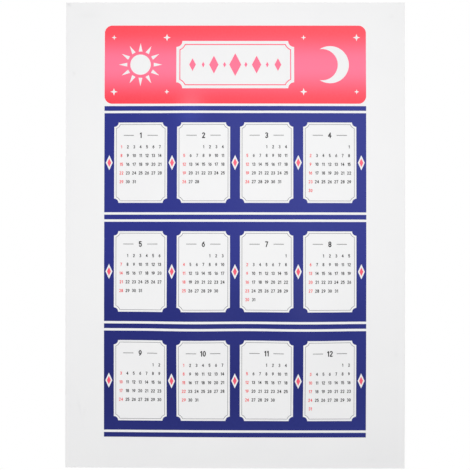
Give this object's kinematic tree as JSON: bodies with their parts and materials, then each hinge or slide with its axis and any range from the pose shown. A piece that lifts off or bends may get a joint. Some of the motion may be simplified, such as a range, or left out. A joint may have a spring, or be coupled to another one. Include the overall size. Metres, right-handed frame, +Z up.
{
  "type": "wall calendar",
  "caption": "Large satin paper sheet with a whole year printed as white month plaques on navy bands under a coral header with a sun, a moon and stars, hung on a wall by its flat top strip.",
  "frame": {"origin": "middle of the back of the flat strip at the sheet's top, where it is fixed to the wall", "axes": "+X to the viewer's right, +Y into the wall, +Z up along the sheet"},
  "size_m": [0.397, 0.0158, 0.545],
  "materials": {
    "paper": "satin-coated, cool white",
    "coral_ink": "satin ink film, coral red fading to pink at the middle of the header",
    "navy_ink": "satin ink film, even navy blue",
    "dark_ink": "satin ink, near black, for the numbers",
    "grey_ink": "satin ink, mid grey, for the fine lines"
  },
  "bodies": {
    "root": {"sheet": "paper", "coral_print": "coral_ink", "navy_print": "navy_ink"}
  },
  "joints": []
}
